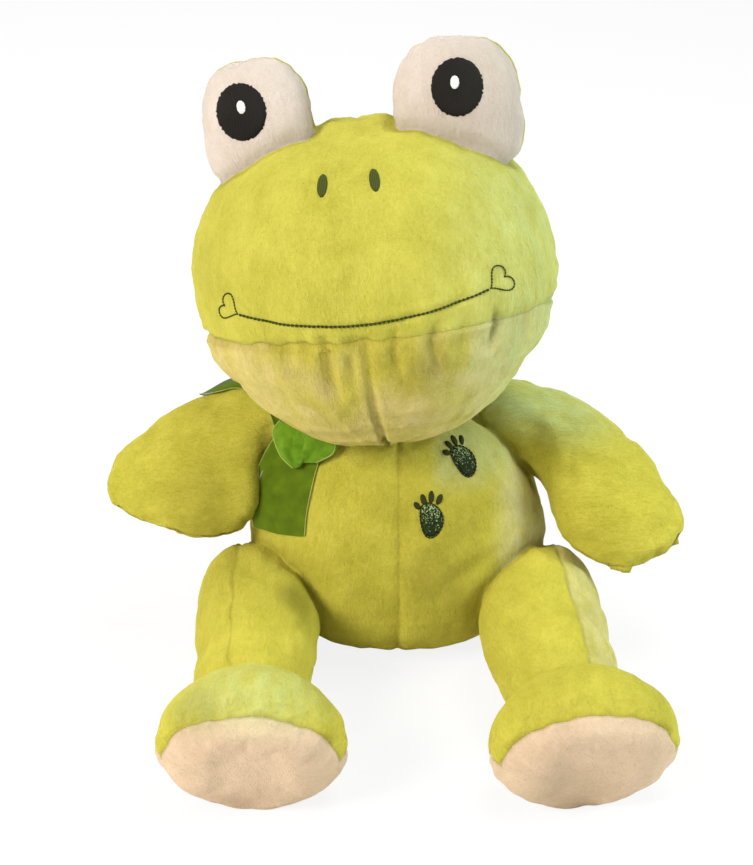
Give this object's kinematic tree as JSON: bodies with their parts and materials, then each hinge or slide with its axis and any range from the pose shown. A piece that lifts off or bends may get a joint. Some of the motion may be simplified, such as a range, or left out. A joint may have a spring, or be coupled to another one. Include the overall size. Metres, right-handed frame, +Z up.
{
  "type": "plush frog",
  "caption": "Seated plush frog of short-pile fabric panels over stuffing, with embroidered face, turning head, swinging arms and legs, and a sheer ribbon tied round its neck.",
  "frame": {"origin": "middle of the flat seat that the frog sits on, on the floor plane", "axes": "+Z up; the frog faces -Y; its own left side is +X"},
  "size_m": [0.2448, 0.2074, 0.2665],
  "materials": {
    "face_velboa": "short pile",
    "body_velboa": "short pile",
    "pale_velboa": "short pile",
    "cream_velboa": "short pile",
    "black_thread": "satin stitch",
    "green_thread": "satin stitch",
    "green_organza": "sheer, glossy",
    "polyester_filling": "loose fibre"
  },
  "bodies": {
    "torso": {"seat_panel": "body_velboa", "belly_panel_left": "body_velboa", "belly_panel_right": "body_velboa", "back_panel_left": "body_velboa", "back_panel_right": "body_velboa", "torso_stuffing": "polyester_filling", "footprint_upper": "green_thread", "footprint_lower": "green_thread", "ribbon_band": "green_organza", "ribbon_knot": "green_organza", "ribbon_loop_left": "green_organza", "ribbon_loop_right": "green_organza", "ribbon_tail": "green_organza"},
    "neck": {"neck_stuffing": "polyester_filling"},
    "head": {"face_panel": "face_velboa", "jaw_panel_left": "pale_velboa", "jaw_panel_right": "pale_velboa", "head_back_left": "face_velboa", "head_back_right": "face_velboa", "head_stuffing": "polyester_filling", "eye_front_left": "cream_velboa", "eye_back_left": "face_velboa", "eye_stuffing_left": "polyester_filling", "eye_front_right": "cream_velboa", "eye_back_right": "face_velboa", "eye_stuffing_right": "polyester_filling", "pupil_left": "black_thread", "pupil_right": "black_thread", "glint_left": "cream_velboa", "glint_right": "cream_velboa", "nostril_left": "green_thread", "nostril_right": "green_thread", "mouth_stitching": "green_thread", "heart_stitching_left": "green_thread", "heart_stitching_right": "green_thread"},
    "arm_left": {"arm_front_left": "body_velboa", "arm_back_left": "body_velboa", "arm_stuffing_left": "polyester_filling"},
    "arm_right": {"arm_front_right": "body_velboa", "arm_back_right": "body_velboa", "arm_stuffing_right": "polyester_filling"},
    "leg_left": {"leg_outer_left": "body_velboa", "leg_inner_left": "body_velboa", "leg_stuffing_left": "polyester_filling", "foot_upper_left": "body_velboa", "sole_left": "cream_velboa", "foot_stuffing_left": "polyester_filling"},
    "leg_right": {"leg_outer_right": "body_velboa", "leg_inner_right": "body_velboa", "leg_stuffing_right": "polyester_filling", "foot_upper_right": "body_velboa", "sole_right": "cream_velboa", "foot_stuffing_right": "polyester_filling"}
  },
  "joints": [
    {"name": "neck_turn", "type": "hinge", "parent": "torso", "child": "neck", "pos_m": [0, -0.006, 0.104], "axis": [0, 0, 1], "range_deg": [-20, 20], "stiffness_Nm_per_rad": 0.3},
    {"name": "head_nod", "type": "hinge", "parent": "neck", "child": "head", "pos_m": [0, -0.006, 0.104], "axis": [1, 0, 0], "range_deg": [-10, 10], "stiffness_Nm_per_rad": 0.8},
    {"name": "arm_left_swing", "type": "hinge", "parent": "torso", "child": "arm_left", "pos_m": [0.042, 0.012, 0.092], "axis": [-1, 0, 0], "range_deg": [-35, 45], "stiffness_Nm_per_rad": 0.15},
    {"name": "arm_right_swing", "type": "hinge", "parent": "torso", "child": "arm_right", "pos_m": [-0.042, 0.012, 0.092], "axis": [-1, 0, 0], "range_deg": [-35, 45], "stiffness_Nm_per_rad": 0.15},
    {"name": "leg_left_swing", "type": "hinge", "parent": "torso", "child": "leg_left", "pos_m": [0.058, -0.026, 0.0265], "axis": [-1, 0, 0], "range_deg": [-60, 20], "stiffness_Nm_per_rad": 0.3},
    {"name": "leg_right_swing", "type": "hinge", "parent": "torso", "child": "leg_right", "pos_m": [-0.058, -0.026, 0.0265], "axis": [-1, 0, 0], "range_deg": [-60, 20], "stiffness_Nm_per_rad": 0.3}
  ]
}
